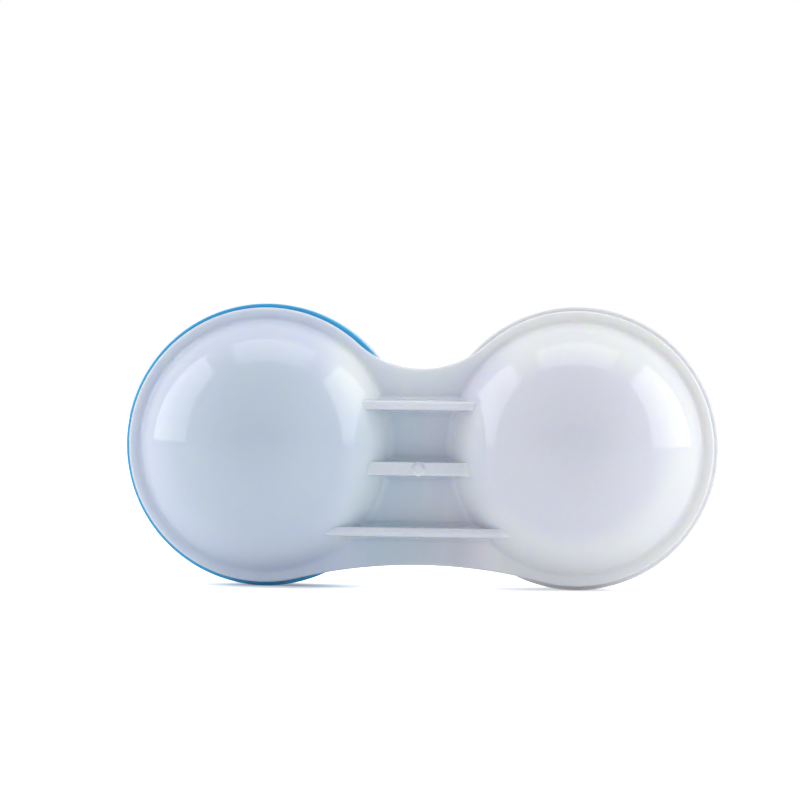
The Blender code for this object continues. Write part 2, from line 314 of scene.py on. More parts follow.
# World: its strength from the front, in reflections and as light, and what the sides and back add
MIRRORED_FRONT = 0.38
MIRRORED_BESIDE = 0.25
MIRRORED_BEHIND = 0.62
LIT_FRONT = 0.405
LIT_BESIDE = 0.33
LIT_BEHIND = 0.25
BEHIND_ZONE = (-0.3, 0.3)
BESIDE_ZONE = (0.3, 0.8)
LIGHT_TINT = (0.95, 0.98, 1.03, 1)
WHITE = (1, 1, 1, 1)

# Softboxes: a name, a side, a reach to the front and a power for each of the two beside the case
SOFTBOX_DISTANCE = 0.8
SOFTBOX_LOW = 0.02
SOFTBOX_HIGH = 1.22
SOFTBOX_BACK = 0.37
SIDE_SOFTBOXES = (("left_softbox", -1, 0.33, 2.95), ("right_softbox", 1, 0.42, 3.75))
TOP_SOFTBOX_FORWARD = -0.036
TOP_SOFTBOX_SIZE = (0.69, 0.36)
TOP_SOFTBOX_POWER = 1


# Modelling helpers

def arc(centre, radius, start, end, steps):
    """Points along an arc, both ends included, with angles in degrees."""
    points = []
    for step in range(steps + 1):
        angle = math.radians(start + (end - start) * step / steps)
        points.append((centre[0] + radius * math.cos(angle), centre[1] + radius * math.sin(angle)))
    return points


def pick(test):
    """In edit mode, selects the points whose place passes the test, and nothing else."""
    bpy.ops.mesh.select_all(action="DESELECT")
    shape = bmesh.from_edit_mesh(bpy.context.object.data)
    for point in shape.verts:
        point.select = test(point.co)
    shape.select_flush(True)
    bmesh.update_edit_mesh(bpy.context.object.data)


def draw(name, points):
    """A chain of edges through the points: a plane merged to one point, then extruded on and on."""
    bpy.ops.object.select_all(action="DESELECT")
    bpy.ops.mesh.primitive_plane_add(size=MM)
    made = bpy.context.object
    made.name = name
    bpy.ops.object.mode_set(mode="EDIT")
    bpy.ops.mesh.merge(type="CENTER")
    bpy.ops.transform.translate(value=points[0])
    for before, after in zip(points, points[1:]):
        step = Vector(after) - Vector(before)
        bpy.ops.mesh.extrude_region_move(TRANSFORM_OT_translate={"value": step})
    return made


def close_up():
    """Merges the seams and poles of the shape in edit mode, turns its faces out and leaves it."""
    bpy.ops.mesh.select_all(action="SELECT")
    bpy.ops.mesh.remove_doubles(threshold=MERGE_DISTANCE)
    bpy.ops.mesh.normals_make_consistent(inside=False)
    bpy.ops.object.mode_set(mode="OBJECT")


def turned(name, profile, segments, x=0, y=0):
    """A solid spun about an upright axis at x, y from (radius, height) points."""
    made = draw(name, [(radius, 0, height) for radius, height in profile])
    bpy.ops.mesh.select_all(action="SELECT")
    bpy.ops.mesh.spin(steps=segments, angle=2 * math.pi, center=(0, 0, 0), axis=(0, 0, 1))
    close_up()
    move(made, x, y)
    return made


def move(made, x, y):
    """Shifts the active piece, with its place in its mesh."""
    made.location = (x, y, 0)
    bpy.ops.object.transform_apply(location=True, rotation=True, scale=True)


def filled(name, points, extrusion, steps=1):
    """A solid extruded in steps from the face that a closed outline of points encloses."""
    made = draw(name, points)
    bpy.ops.mesh.select_all(action="SELECT")
    bpy.ops.mesh.edge_face_add()
    for step in range(steps):
        bpy.ops.mesh.extrude_region_move(TRANSFORM_OT_translate={"value": Vector(extrusion) / steps})
    close_up()
    return made


def modified(made, kind, **settings):
    """Adds a modifier with those settings and applies it."""
    bpy.ops.object.select_all(action="DESELECT")
    made.select_set(True)
    bpy.context.view_layer.objects.active = made
    change = made.modifiers.new(kind.lower(), kind)
    for name, value in settings.items():
        setattr(change, name, value)
    bpy.ops.object.modifier_apply(modifier=change.name)


def combined(made, tool, operation):
    """Joins the tool to a piece, or cuts it out, and deletes the tool."""
    modified(made, "BOOLEAN", operation=operation, solver="EXACT", object=tool)
    bpy.data.objects.remove(tool, do_unlink=True)


def smoothed(made, angle):
    """Shades a piece smooth up to an angle in degrees, with its large faces kept flat."""
    bpy.ops.object.select_all(action="DESELECT")
    made.select_set(True)
    bpy.context.view_layer.objects.active = made
    bpy.ops.object.shade_smooth_by_angle(angle=math.radians(angle))
    modified(made, "WEIGHTED_NORMAL", mode="FACE_AREA", keep_sharp=True)


def stood_up(made):
    """Turns a flat piece on edge, with its place in its mesh."""
    bpy.ops.object.select_all(action="DESELECT")
    made.select_set(True)
    bpy.context.view_layer.objects.active = made
    made.rotation_euler = (-math.pi / 2, 0, 0)
    made.location = (0, 0, AXIS_HEIGHT)
    bpy.ops.object.transform_apply(location=True, rotation=True, scale=True)


# Threads

def thread(name, wall, outward, first_turn, last_turn, start_height, x):
    """A helical ridge on a wall, between two turns of the helix that starts at a height.

    Its ends sink into the wall.
    """
    half_root = THREAD_ROOT / 2
    half_crest = THREAD_CREST / 2
    section = [
        (-THREAD_BURY, -half_root),
        (THREAD_DEPTH - THREAD_SOFT, -half_crest - THREAD_SOFT / 2),
        (THREAD_DEPTH, -half_crest + THREAD_SOFT),
        (THREAD_DEPTH, half_crest - THREAD_SOFT),
        (THREAD_DEPTH - THREAD_SOFT, half_crest + THREAD_SOFT / 2),
        (-THREAD_BURY, half_root),
    ]
    turns = last_turn - first_turn
    low = start_height + THREAD_LEAD * first_turn
    made = draw(name, [(wall + outward * reach, 0, low + offset) for reach, offset in section])
    bpy.ops.mesh.select_all(action="SELECT")
    bpy.ops.mesh.edge_face_add()
    bpy.ops.mesh.delete(type="ONLY_FACE")
    bpy.ops.object.mode_set(mode="OBJECT")
    steps = round(turns * THREAD_TURN_STEPS)
    modified(
        made, "SCREW", axis="Z", angle=turns * 2 * math.pi, screw_offset=turns * THREAD_LEAD,
        steps=steps, render_steps=steps, use_merge_vertices=False,
    )
    bpy.ops.object.mode_set(mode="EDIT")
    bpy.ops.mesh.select_all(action="SELECT")
    bpy.ops.mesh.fill_holes(sides=0)
    sink_ends(wall, outward, low, turns)
    close_up()
    made.rotation_euler = (0, 0, first_turn * 2 * math.pi + THREAD_START_ANGLE)
    move(made, x, 0)
    return made


def sink_ends(wall, outward, low, turns):
    """Draws the sections at both ends of a ridge into the wall, the last one fully."""
    def turn_at(place):
        share = math.atan2(place.y, place.x) / (2 * math.pi)
        return share + round((place.z - low) / THREAD_LEAD - share)

    near = 0.3 / THREAD_TURN_STEPS
    for step in range(THREAD_TAPER_STEPS):
        sunk = THREAD_END_DEPTH * (1 - step / THREAD_TAPER_STEPS) ** 2
        shrink = 1 - outward * sunk / wall
        for turn in (step / THREAD_TURN_STEPS, turns - step / THREAD_TURN_STEPS):
            pick(lambda place: abs(turn_at(place) - turn) < near)
            bpy.ops.transform.resize(value=(shrink, shrink, 1), center_override=(0, 0, 0))


# Base

def saddle_arc(saddle, side):
    """Centre, radius and half angle in degrees of the arc between the flange circles at a saddle."""
    depth = FLANGE_RADIUS - saddle
    radius = (HALF_SPACING**2 + saddle**2 - FLANGE_RADIUS**2) / (2 * depth)
    half = math.degrees(math.atan2(HALF_SPACING, saddle + radius))
    return (0, side * (saddle + radius)), radius, half


def flange_outline():
    """Two circles joined by a deep notch at -Y and a shallow belly at +Y."""
    notch_centre, notch_radius, notch_half = saddle_arc(NOTCH_SADDLE, -1)
    belly_centre, belly_radius, belly_half = saddle_arc(BELLY_SADDLE, 1)
    sweep = 180 + notch_half + belly_half
    steps = round(sweep / 360 * WELL_SEGMENTS)
    right = arc((HALF_SPACING, 0), FLANGE_RADIUS, -90 - notch_half, 90 + belly_half, steps)
    belly = arc(belly_centre, belly_radius, -90 + belly_half, -90 - belly_half, BRIDGE_STEPS)
    left = [(-x, y) for x, y in reversed(right)]
    notch = arc(notch_centre, notch_radius, 90 + notch_half, 90 - notch_half, BRIDGE_STEPS)
    return right + belly[1:-1] + left + notch[1:-1]


def flange_plate():
    """The flange round both wells and the web between them, with rounded edges."""
    outline = [(x, y, UNDERSIDE) for x, y in flange_outline()]
    made = filled("base_moulding", outline, (0, 0, FLANGE_THICKNESS))
    modified(
        made, "BEVEL", width=FLANGE_ROUND, segments=FLANGE_ROUND_STEPS,
        limit_method="ANGLE", angle_limit=EDGE_ANGLE,
    )
    return made


def dome_sphere():
    """Height of the centre and radius of the sphere through a dome's base and foot circles."""
    height = UNDERSIDE - FOOT
    base = NECK_RADIUS + DOME_FLARE
    depth = (base**2 - FOOT_RADIUS**2 - height**2) / (2 * height)
    return UNDERSIDE + depth, math.hypot(base, depth)


def well_outside():
    """The foot, the dome, its fillet into the flange, the neck and the lip, as a plug."""
    centre, radius = dome_sphere()
    fillet_height = UNDERSIDE - DOME_FILLET + SINK
    fillet_radius = math.sqrt((radius + DOME_FILLET) ** 2 - (centre - fillet_height) ** 2)
    foot_angle = -math.degrees(math.acos(FOOT_RADIUS / radius))
    base_angle = -math.degrees(math.atan2(centre - fillet_height, fillet_radius))
    dome = arc((0, centre), radius, foot_angle, base_angle, DOME_STEPS)
    fillet = arc((fillet_radius, fillet_height), DOME_FILLET, base_angle + 180, 90, ROUND_STEPS)
    lip = arc((NECK_RADIUS - LIP_ROUND, LIP - LIP_ROUND), LIP_ROUND, 0, 90, ROUND_STEPS)
    buried = UNDERSIDE + FLANGE_THICKNESS / 2
    return (
        [(0, FOOT)] + dome + fillet[1:]
        + [(fillet_radius, buried), (NECK_RADIUS, buried)]
        + lip + [(0, LIP)]
    )


def well_hollow():
    """The bowl, the mouth and the round inside of the lip, reaching past the lip."""
    centre, outer = dome_sphere()
    radius = outer - WELL_WALL
    floor = FOOT + WELL_WALL
    floor_radius = math.sqrt(radius**2 - (centre - floor) ** 2)
    floor_angle = -math.degrees(math.acos(floor_radius / radius))
    mouth_angle = -math.degrees(math.acos(MOUTH_RADIUS / radius))
    bowl = arc((0, centre), radius, floor_angle, mouth_angle, DOME_STEPS)
    lip = arc((MOUTH_RADIUS + LIP_ROUND, LIP - LIP_ROUND + SINK), LIP_ROUND, 180, 90, ROUND_STEPS)
    past = LIP + WELL_WALL
    return [(0, floor)] + bowl + lip + [(MOUTH_RADIUS + LIP_ROUND, past), (0, past)]


def rib(name, place, thickness, crest_round):
    """A drafted rib across the bridge, with a softened crest and a fillet at its root."""
    half = thickness / 2
    root = half + RIB_DRAFT
    crest = arc((half - crest_round, RIB_CREST + crest_round), crest_round, -90, 0, ROUND_STEPS)
    fillet = arc((root + RIB_FILLET, UNDERSIDE - RIB_FILLET + SINK), RIB_FILLET, 180, 90, ROUND_STEPS)
    buried = [(root + RIB_FILLET, UNDERSIDE + FLANGE_THICKNESS / 2)]
    side = crest + fillet + buried
    section = side + [(-y, z) for y, z in reversed(side)]
    outline = [(-HALF_SPACING, place + y, z) for y, z in section]
    return filled(name, outline, (2 * HALF_SPACING, 0, 0), RIB_STEPS)


def gate_mark():
    """The low round boss on the middle rib, with the nub that the cut gate left in its middle."""
    top = RIB_CREST - GATE_HEIGHT
    step = RIB_CREST - GATE_RISE
    buried = RIB_CREST + 2 * GATE_HEIGHT
    nub = arc((GATE_NUB_RADIUS - GATE_RISE, top + GATE_RISE), GATE_RISE, -90, 0, EDGE_STEPS)
    boss = arc((GATE_RADIUS - GATE_RISE, step + GATE_RISE), GATE_RISE, -90, 0, EDGE_STEPS)
    profile = [(0, top)] + nub + boss + [(GATE_RADIUS, buried), (0, buried)]
    return turned("gate_mark", profile, MARK_SEGMENTS, y=MIDDLE_RIB_PLACE)


def pin_mark(place):
    """The shallow round print of an ejector pin on the back of the web."""
    floor = FACE - PIN_MARK_DEPTH
    above = FACE + SEAT_GAP
    profile = [(0, floor), (PIN_MARK_RADIUS, floor), (PIN_MARK_RADIUS, above), (0, above)]
    return turned("pin_mark", profile, MARK_SEGMENTS, y=place)


def neck_thread_turns():
    """The height at which the helix starts, and the turns that the neck's ridge takes of it."""
    start = FACE + THREAD_MARGIN + THREAD_ROOT / 2
    top = LIP - BEAD_HEIGHT - THREAD_MARGIN - THREAD_ROOT / 2
    return start, (top - start) / THREAD_LEAD


def base_moulding():
    """The base: flange, wells, ribs, marks and threaded necks in one piece."""
    made = flange_plate()
    for side, x in SIDES:
        combined(made, turned(f"{side}_well", well_outside(), WELL_SEGMENTS, x), "UNION")
    combined(made, rib("notch_rib", NOTCH_RIB_PLACE, OUTER_RIB, OUTER_RIB_ROUND), "UNION")
    combined(made, rib("middle_rib", MIDDLE_RIB_PLACE, MIDDLE_RIB, MIDDLE_RIB_ROUND), "UNION")
    combined(made, rib("belly_rib", BELLY_RIB_PLACE, OUTER_RIB, OUTER_RIB_ROUND), "UNION")
    combined(made, gate_mark(), "UNION")
    for place in PIN_MARK_PLACES:
        combined(made, pin_mark(place), "DIFFERENCE")
    start, turns = neck_thread_turns()
    for side, x in SIDES:
        combined(made, turned(f"{side}_hollow", well_hollow(), WELL_SEGMENTS, x), "DIFFERENCE")
        ridge = thread(f"{side}_neck_thread", NECK_RADIUS, 1, 0, turns, start, x)
        combined(made, ridge, "UNION")
    smoothed(made, BASE_SMOOTH_ANGLE)
    stood_up(made)
    return made


# Caps and seals

def grip_side(height):
    """The radius of the cap's side: even along the band by the rim, then narrowing to the shoulder."""
    low = RIM + RIM_BAND
    high = CROWN - CAP_EDGE_ROUND
    return CAP_RADIUS - CAP_DRAFT * max(0, height - low) / (high - low)


def cap_profile():
    """Half a cap, from the middle of its top round the rim and back to the middle of its ceiling."""
    floor = CROWN - CAP_RECESS_DEPTH
    recess = CAP_RADIUS - CAP_RECESS_BORDER
    round_height = CROWN - CAP_EDGE_ROUND
    grip_low = RIM + RIM_BAND
    bead = SEAL_RADIUS - BEAD_HOLD
    gate = [
        (0, floor - CAP_GATE_DEPTH / 2),
        (CAP_GATE_RADIUS / 3, floor - CAP_GATE_DEPTH / 2),
        (CAP_GATE_RADIUS / 2, floor - CAP_GATE_DEPTH),
        (CAP_GATE_RADIUS - CAP_GATE_DEPTH, floor - CAP_GATE_DEPTH),
        (CAP_GATE_RADIUS, floor),
    ]
    step_foot = arc(
        (recess - 2 * CAP_RECESS_DEPTH, floor + CAP_RECESS_DEPTH / 2),
        CAP_RECESS_DEPTH / 2, -90, -20, EDGE_STEPS,
    )
    step_head = arc(
        (recess, CROWN - CAP_RECESS_DEPTH / 2), CAP_RECESS_DEPTH / 2, 160, 90, EDGE_STEPS,
    )
    edge = CAP_RADIUS - CAP_DRAFT - CAP_EDGE_ROUND
    shoulder = arc((edge, round_height), CAP_EDGE_ROUND, 90, 0, ROUND_STEPS)
    grip_levels = (
        round_height - GRIP_RUN_OUT / 2,
        round_height - GRIP_RUN_OUT,
        (round_height + grip_low) / 2,
        grip_low + GRIP_RUN_OUT,
        grip_low + GRIP_RUN_OUT / 2,
        grip_low,
    )
    grip = [(grip_side(level), level) for level in grip_levels]
    rim = arc((CAP_RADIUS - RIM_ROUND, RIM + RIM_ROUND), RIM_ROUND, 0, -90, EDGE_STEPS)
    mouth = arc((CAP_BORE + RIM_ROUND, RIM + RIM_ROUND), RIM_ROUND, -90, -180, EDGE_STEPS)
    inside = [
        (CAP_BORE, LIP - BEAD_HEIGHT),
        (bead, LIP - BEAD_HEIGHT + BEAD_RAMP),
        (bead, LIP - BEAD_RAMP),
        (CAP_BORE, LIP),
        (CAP_BORE, CEILING - RIM_ROUND),
        (CAP_BORE - RIM_ROUND, CEILING),
        (0, CEILING),
    ]
    return gate + step_foot + step_head + shoulder + grip + rim + mouth + inside


def press_grip(made):
    """Draws every flute of the grip in: half way on the run-outs and fully between them."""
    grip_low = RIM + RIM_BAND
    grip_high = CROWN - CAP_EDGE_ROUND
    middle = (grip_low + grip_high) / 2
    reach = grip_high - middle
    depths = (
        (reach - GRIP_RUN_OUT / 2, 1 / 2),
        (reach - GRIP_RUN_OUT, 1),
        (0, 1),
    )
    bpy.ops.object.mode_set(mode="EDIT")
    for off_middle, share in depths:
        for phase in range(1, GRIP_STEPS // 2 + 1):
            wave = (1 - math.cos(2 * math.pi * phase / GRIP_STEPS)) / 2
            shrink = 1 - GRIP_DEPTH * wave * share / CAP_RADIUS

            def on_flute(place):
                step = round(math.atan2(place.y, place.x) / (2 * math.pi) * CAP_SEGMENTS) % GRIP_STEPS
                level = abs(abs(place.z - middle) - off_middle) < LEVEL_TOLERANCE
                outside = math.hypot(place.x, place.y) > GRIP_INSIDE
                return level and outside and step in (phase, GRIP_STEPS - phase)

            pick(on_flute)
            bpy.ops.transform.resize(value=(shrink, shrink, 1), center_override=(0, 0, 0))
    bpy.ops.object.mode_set(mode="OBJECT")


def cap_thread_turns():
    """The height at which the cap's helix starts, and the first and last turns of its ridge."""
    flank = (THREAD_ROOT - THREAD_CREST) / 2
    overlap = THREAD_ROOT - flank * (THREAD_DEPTH + THREAD_CLEARANCE) / THREAD_DEPTH
    neck_start, neck_turns = neck_thread_turns()
    start = neck_start - overlap - SEAT_GAP
    lowest = RIM + THREAD_MARGIN + THREAD_ROOT / 2
    highest = neck_start + neck_turns * THREAD_LEAD
    return start, (lowest - start) / THREAD_LEAD, (highest - start) / THREAD_LEAD


def screw_cap(side, x):
    """A cap with a fluted grip and a thread in its bore."""
    made = turned(f"{side}_cap_shell", cap_profile(), CAP_SEGMENTS)
    press_grip(made)
    start, first, last = cap_thread_turns()
    ridge = thread(f"{side}_cap_thread", CAP_BORE, -1, first, last, start, 0)
    combined(made, ridge, "UNION")
    move(made, x, 0)
    smoothed(made, CAP_SMOOTH_ANGLE)
    stood_up(made)
    return made


def seal_disc(side, x):
    """A soft disc with rounded edges, dented by the lip that it closes on."""
    dent_in = MOUTH_RADIUS + LIP_ROUND
    dent_out = NECK_RADIUS - LIP_ROUND
    low_edge = arc((SEAL_RADIUS - SEAL_EDGE, SEAL_LOW + SEAL_EDGE), SEAL_EDGE, -90, 0, EDGE_STEPS)
    high_edge = arc((SEAL_RADIUS - SEAL_EDGE, SEAL_HIGH - SEAL_EDGE), SEAL_EDGE, 0, 90, EDGE_STEPS)
    profile = (
        [
            (0, SEAL_LOW),
            (dent_in - SEAL_DENT, SEAL_LOW),
            (dent_in, SEAL_LOW + SEAL_DENT),
            (dent_out, SEAL_LOW + SEAL_DENT),
            (dent_out + SEAL_DENT, SEAL_LOW),
        ]
        + low_edge + high_edge + [(0, SEAL_HIGH)]
    )
    made = turned(f"{side}_seal_disc", profile, WELL_SEGMENTS, x)
    smoothed(made, CAP_SMOOTH_ANGLE)
    stood_up(made)
    return made


# Finishes

class Value:
    """A shader socket. Sums and products of sockets and numbers add their Math nodes."""

    def __init__(self, tree, socket):
        self.tree = tree
        self.socket = socket

    def node(self, kind, settings=None, values=None, output=0):
        """Adds a node of that type beside this socket and gives one of its outputs."""
        made = self.tree.nodes.new(kind)
        for name, setting in (settings or {}).items():
            setattr(made, name, setting)
        for name, value in (values or {}).items():
            if isinstance(value, Value):
                self.tree.links.new(value.socket, made.inputs[name])
            else:
                made.inputs[name].default_value = value
        return Value(self.tree, made.outputs[output])

    def math(self, operation, first, second):
        return self.node("ShaderNodeMath", {"operation": operation}, {0: first, 1: second})

    def __add__(self, other):
        return self.math("ADD", self, other)

    def __radd__(self, other):
        return self.math("ADD", other, self)

    def __sub__(self, other):
        return self.math("SUBTRACT", self, other)

    def __rsub__(self, other):
        return self.math("SUBTRACT", other, self)

    def __mul__(self, other):
        return self.math("MULTIPLY", self, other)

    def __rmul__(self, other):
        return self.math("MULTIPLY", other, self)

    def part(self, axis):
        """One of X, Y and Z of a vector."""
        return self.node("ShaderNodeSeparateXYZ", {}, {0: self}, axis)

    def noise(self, scale, detail=2.0):
        """Noise at this place, with its middle at a half."""
        return self.node("ShaderNodeTexNoise", {}, {"Vector": self, "Scale": scale, "Detail": detail})

    def stretched(self, scale):
        return self.node("ShaderNodeMapping", {}, {"Vector": self, "Scale": scale})

    def distance(self, point):
        return self.node("ShaderNodeVectorMath", {"operation": "DISTANCE"}, {0: self, 1: point}, "Value")

    def unsigned(self):
        """This vector without its signs."""
        return self.node("ShaderNodeVectorMath", {"operation": "ABSOLUTE"}, {0: self})

    def ease(self, low, high):
        """From 0 at low to 1 at high, without corners."""
        values = {"Value": self, "From Min": low, "From Max": high}
        return self.node("ShaderNodeMapRange", {"interpolation_type": "SMOOTHSTEP"}, values)

    def mix(self, first, second):
        """From the first colour to the second, by this factor."""
        values = {0: self, 6: first, 7: second}
        return self.node("ShaderNodeMix", {"data_type": "RGBA"}, values, 2)


def new_finish(name):
    """A material with its Principled shader and the Object coordinates that its patterns read."""
    material = bpy.data.materials.new(name)
    material.use_nodes = True
    tree = material.node_tree
    shader = tree.nodes["Principled BSDF"]
    start = tree.nodes.new("ShaderNodeTexCoord")
    return material, shader, Value(tree, start.outputs["Object"])


def feed(shader, colour, roughness, bump_height, bump_strength):
    """Links what varies over a surface to its shader."""
    tree = colour.tree
    tree.links.new(colour.socket, shader.inputs["Base Color"])
    tree.links.new(roughness.socket, shader.inputs["Roughness"])
    values = {"Strength": bump_strength, "Distance": BUMP_DISTANCE, "Height": bump_height}
    bump = bump_height.node("ShaderNodeBump", {}, values)
    tree.links.new(bump.socket, shader.inputs["Normal"])


def dust(place, spacing, size):
    """A mask of sparse round specks."""
    scale = 1 / spacing
    values = {"Vector": place, "Scale": scale}
    near = place.node("ShaderNodeTexVoronoi", {"feature": "F1"}, values, "Distance")
    kind = place.node("ShaderNodeTexVoronoi", {"feature": "F1"}, values, "Color")
    rare = kind.part(0).ease(*RARE_SPECKS)
    return near.ease(size * scale, size * scale / 3) * rare


def dome_zones(place):
    """The distances from the case's middle plane and the nearer well's axis, and a mask of the domes."""
    off_middle = place.unsigned().part(0)
    level = place.part(1)
    height = place.part(2)
    centre, radius = dome_sphere()
    folded = place.node("ShaderNodeCombineXYZ", {}, {0: off_middle, 1: level, 2: height})
    flat = place.node("ShaderNodeCombineXYZ", {}, {0: off_middle, 2: height})
    off_axis = flat.distance((HALF_SPACING, 0, AXIS_HEIGHT))
    off_centre = folded.distance((HALF_SPACING, centre, AXIS_HEIGHT))
    in_skin = off_centre.ease(radius - DOME_SKIN[0], radius - DOME_SKIN[1])
    on_dome = in_skin * off_centre.ease(radius + DOME_FADE[0], radius + DOME_FADE[1])
    return off_middle, off_axis, on_dome


def dome_light_and_shade(place, height, off_middle, off_axis):
    """The domes: painted shade deepens their crowns, painted light makes their flanks paler by the
    bridge, and the blue cap's light is painted on its side.
    """
    # The blue cap's painted light, fading along the case and across the bridge
    across = place.part(0).ease(*CAP_LIGHT_ZONE)
    bridge_cap_light = place.part(0).ease(*BRIDGE_CAP_LIGHT_ZONE)
    inner_low_light = bridge_cap_light.mix(*INNER_LOW_LIGHT_TONES)
    inner_high_light = bridge_cap_light.mix(*INNER_HIGH_LIGHT_TONES)
    inner = height.ease(*INNER_HIGH_LIGHT_ZONE).mix(inner_low_light, inner_high_light)
    flank = off_middle.ease(*INNER_LIGHT_ZONE).mix(across.mix(*FLANK_LIGHT_TONES), inner)
    return off_axis.ease(*CROWN_SHADE_ZONE).mix(flank, across.mix(*CROWN_SHADE_TONES))


def plate_tone_light_and_shade(place, height, off_middle):
    """The flange, the web with painted shade in the pockets between its ribs, and the necks, with the
    blue cap's light painted on its side.
    """
    level = place.part(1)
    flange = place.part(0).ease(*CAP_LIGHT_ZONE).mix(*FLANGE_CAP_LIGHT_TONES)
    pocket = place.part(0).ease(*BRIDGE_CAP_LIGHT_ZONE).mix(*POCKET_SHADE_TONES)
    web = height.ease(*POCKET_SHADE_ZONE).mix(SADDLE_TONE, pocket)
    plate = off_middle.ease(*WEB_ZONE).mix(flange, web)
    plate = level.ease(*RIB_ZONE).mix(plate, RIB_TONE)
    streaks = place.stretched(STREAK_STRETCH).noise(1, 2).ease(*STREAK_ZONE)
    plate = (streaks * STREAK_SHARE).mix(plate, STREAK_TONE)
    return level.ease(*NECK_ZONE).mix(plate, NECK_TONE)


def gate_blush_shade_and_glint(place, height, colour):
    """A pale blush round the gate mark, and a ring on it with painted shade above and a painted
    highlight below.
    """
    off_gate = place.distance((0, RIB_CREST, AXIS_HEIGHT - MIDDLE_RIB_PLACE))
    colour = (off_gate.ease(*BLUSH_ZONE) * BLUSH_SHARE).mix(colour, BLUSH_TONE)
    ring = off_gate.ease(*GATE_RING_START) * off_gate.ease(*GATE_RING_END)
    upper = height.ease(*GATE_UPPER_ZONE)
    colour = (ring * upper * GATE_SHADE_SHARE).mix(colour, GATE_SHADE_TONE)
    return (ring * (1 - upper) * GATE_GLINT_SHARE).mix(colour, GATE_GLINT_TONE)


def scatter(shader, weight, depth, spread):
    """Lets light spread below the surface of a plastic."""
    shader.inputs["Subsurface Weight"].default_value = weight
    shader.inputs["Subsurface Scale"].default_value = depth
    shader.inputs["Subsurface Radius"].default_value = spread
    shader.inputs["IOR"].default_value = PLASTIC_IOR


def milky_plastic():
    """Milky moulding, with painted light and shade: bluish with the blue cap's painted light beside it,
    and neutral beside the white one.
    """
    material, shader, place = new_finish("milky_plastic")
    scatter(shader, MILK_SHARE, MILK_DEPTH, MILK_SPREAD)
    off_middle, off_axis, on_dome = dome_zones(place)
    height = place.part(2) - AXIS_HEIGHT
    plate = plate_tone_light_and_shade(place, height, off_middle)
    colour = on_dome.mix(plate, dome_light_and_shade(place, height, off_middle, off_axis))
    clouds = place.noise(MILK_CLOUDS, 3)
    colour = (clouds.ease(*CLOUD_ZONE) * CLOUD_SHARE).mix(colour, CLOUD_TONE)
    colour = gate_blush_shade_and_glint(place, height, colour)
    specks = dust(place, *MILK_SPECKS)
    colour = (specks * SPECK_SHARE).mix(colour, SPECK_TONE)
    grain = place.noise(MILK_GRAIN, 2)
    roughness = MILK_ROUGHNESS + 0.03 * clouds + 0.02 * grain + 0.2 * specks
    waviness = place.noise(MILK_WAVES, 2) + 0.15 * grain
    feed(shader, colour, roughness, waviness, MILK_BUMP)
    return material


def solid_plastic(name, tone, deep, roughness, milkiness):
    """Dense moulded plastic with faint flow clouds and a fine mould grain."""
    material, shader, place = new_finish(name)
    scatter(shader, milkiness, CAP_MILK_DEPTH, CAP_MILK_SPREAD)
    clouds = place.noise(CAP_CLOUDS, 3)
    grain = place.noise(CAP_GRAIN, 2)
    colour = clouds.ease(*FLOW_ZONE).mix(deep, tone)
    specks = dust(place, *CAP_SPECKS)
    colour = (specks * CAP_SPECK_SHARE).mix(colour, CAP_SPECK_TONE)
    dullness = roughness - 0.05 + 0.06 * clouds + 0.05 * grain
    feed(shader, colour, dullness, grain + 0.5 * clouds, CAP_BUMP)
    return material


def silicone():
    """Soft milky liner with a dull skin."""
    material, shader, place = new_finish("soft_silicone")
    shader.inputs["IOR"].default_value = SILICONE_IOR
    clouds = place.noise(LINER_CLOUDS, 3)
    grain = place.noise(LINER_GRAIN, 2)
    colour = clouds.ease(*FLOW_ZONE).mix(*LINER_TONES)
    dullness = LINER_ROUGHNESS + 0.1 * clouds + 0.05 * grain
    feed(shader, colour, dullness, grain, LINER_BUMP)
    return material


# Studio

def ray_kinds(tree):
    """Factors that are 1 on camera rays, on glossy and transmission rays, and on all other rays."""
    path = tree.nodes.new("ShaderNodeLightPath")
    camera_ray = Value(tree, path.outputs["Is Camera Ray"])
    glossy = Value(tree, path.outputs["Is Glossy Ray"])
    through = Value(tree, path.outputs["Is Transmission Ray"])
    return camera_ray, glossy + through, (1 - camera_ray) * (1 - glossy) * (1 - through)


def studio_floor():
    """A pale floor that glows white to the camera, and less where the caps stand, so shadows show."""
    bpy.ops.object.select_all(action="DESELECT")
    bpy.ops.mesh.primitive_plane_add(size=FLOOR_SIZE)
    floor = bpy.context.object
    floor.name = "studio_floor"
    material, shader, place = new_finish("pale_floor")
    shader.inputs["Base Color"].default_value = FLOOR_TONE
    shader.inputs["Roughness"].default_value = FLOOR_ROUGHNESS
    shader.inputs["Specular IOR Level"].default_value = 0.1
    shader.inputs["Emission Strength"].default_value = 1
    seen, reflected, lighting = ray_kinds(place.tree)
    off_caps = place.unsigned().distance((CONTACT_PLACE, 0, 0)).ease(*CONTACT_ZONE)
    off_blue = place.distance((-CONTACT_PLACE, 0, 0)).ease(*CONTACT_ZONE)
    to_camera = GLOW_AT_BLUE + GLOW_OFF_BLUE * off_blue + GLOW_OFF_CAPS * off_caps
    as_light = LIGHT_AT_BLUE + LIGHT_OFF_BLUE * off_blue
    glow = seen * to_camera + GLOW_MIRRORED * reflected + as_light * lighting
    place.tree.links.new(glow.socket, shader.inputs["Emission Color"])
    floor.data.materials.append(material)


